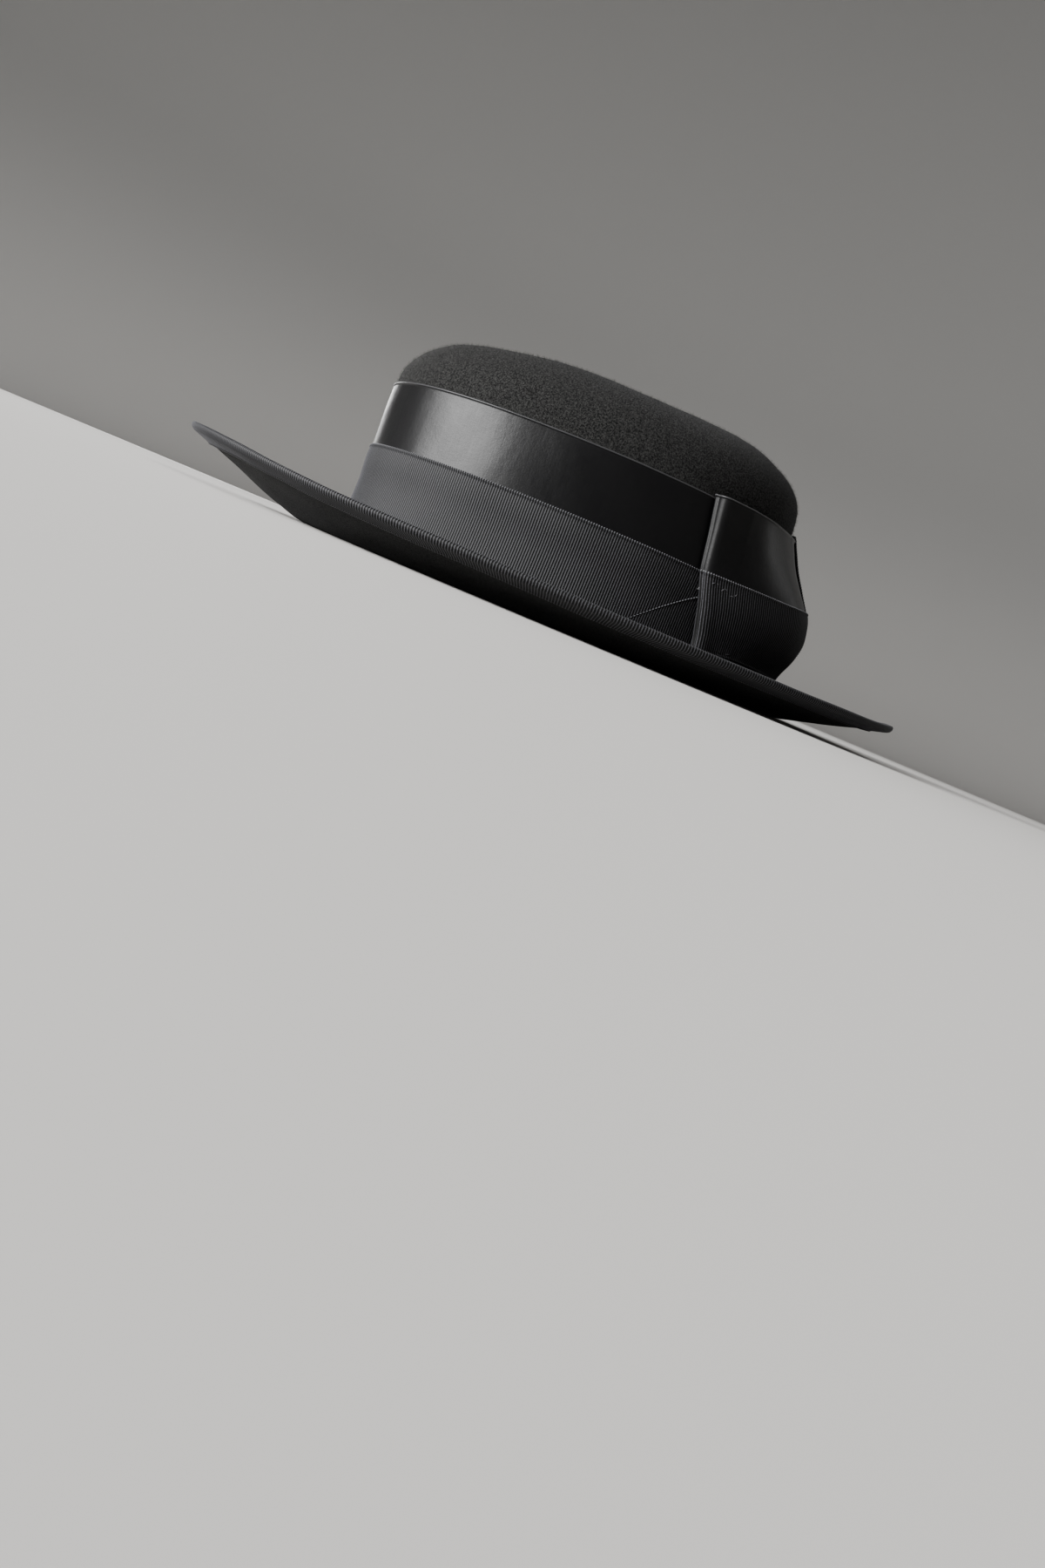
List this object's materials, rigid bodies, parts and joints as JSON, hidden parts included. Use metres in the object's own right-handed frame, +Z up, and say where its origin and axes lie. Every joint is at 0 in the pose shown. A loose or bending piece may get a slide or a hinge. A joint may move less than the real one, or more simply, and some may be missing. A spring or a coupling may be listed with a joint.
{
  "type": "felt boater hat with ribbon band and bow",
  "caption": "Flat-crowned felt hat with a brim turned up all round, a satin and grosgrain ribbon band, a bound edge and a flat bow at the back.",
  "frame": {"origin": "on the surface that the hat rests on, under the middle of its box", "axes": "+Z up out of the crown; the wearer faces -Y, so the bow is at +Y; +X is the wearer's left"},
  "size_m": [0.316, 0.3541, 0.1075],
  "materials": {
    "fur_felt": "matte brushed fur felt, black",
    "satin_ribbon": "smooth satin weave, black, soft broad shine",
    "grosgrain_ribbon": "ribbed grosgrain weave, black, ribs about 1.1 mm apart"
  },
  "bodies": {
    "root": {"felt_body": "fur_felt", "satin_band": "satin_ribbon", "grosgrain_band": "grosgrain_ribbon", "brim_binding": "grosgrain_ribbon", "bow_knot": "grosgrain_ribbon", "bow_loop_left_satin": "satin_ribbon", "bow_loop_left_grosgrain": "grosgrain_ribbon", "bow_tail_left": "grosgrain_ribbon", "bow_loop_right_satin": "satin_ribbon", "bow_loop_right_grosgrain": "grosgrain_ribbon", "bow_tail_right": "grosgrain_ribbon"}
  },
  "joints": []
}
